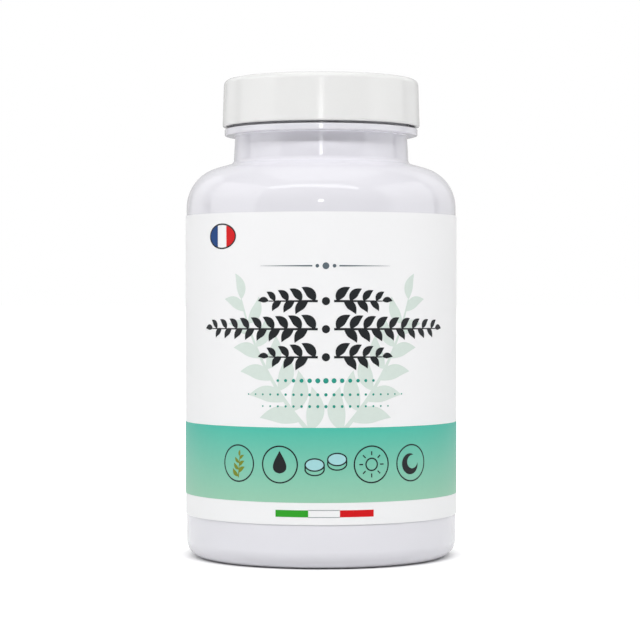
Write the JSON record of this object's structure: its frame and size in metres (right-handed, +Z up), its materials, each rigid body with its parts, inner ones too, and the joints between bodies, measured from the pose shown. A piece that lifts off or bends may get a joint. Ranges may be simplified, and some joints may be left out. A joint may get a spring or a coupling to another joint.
{
  "type": "tablet bottle with screw cap",
  "caption": "Round white plastic bottle with a threaded wide neck, smooth screw cap with liner, printed wrap label and a filling of pressed tablets.",
  "frame": {"origin": "on the standing plane, on the bottle's axis", "axes": "+Z up along the bottle's axis to the cap; the printed front of the label faces -Y and its seam is at +Y"},
  "size_m": [0.0634, 0.0634, 0.1113],
  "materials": {
    "pet_white": "blow-moulded white PET, glossy",
    "label_film": "white label stock, semi-gloss, with a green printed band",
    "tablet_green": "pressed powder, pale green, matt",
    "liner_foam": "pulp and foil sealing liner, matt",
    "cap_white": "moulded white polypropylene, smooth, satin gloss"
  },
  "bodies": {
    "bottle": {"bottle": "pet_white", "label": "label_film", "tablet_fill": "tablet_green"},
    "liner": {"liner": "liner_foam"},
    "cap": {"cap": "cap_white"}
  },
  "joints": [
    {"name": "liner_lift", "type": "slide", "parent": "bottle", "child": "liner", "axis": [0, 0, 1], "range_m": [0, 0.00424]},
    {"name": "cap_turn", "type": "hinge", "parent": "liner", "child": "cap", "pos_m": [0, 0, 0.1], "axis": [0, 0, 1], "range_deg": [0, 360]}
  ],
  "couplings": [
    {"joint": "liner_lift", "follows": "cap_turn", "m_per_rad": 0.00067375}
  ]
}
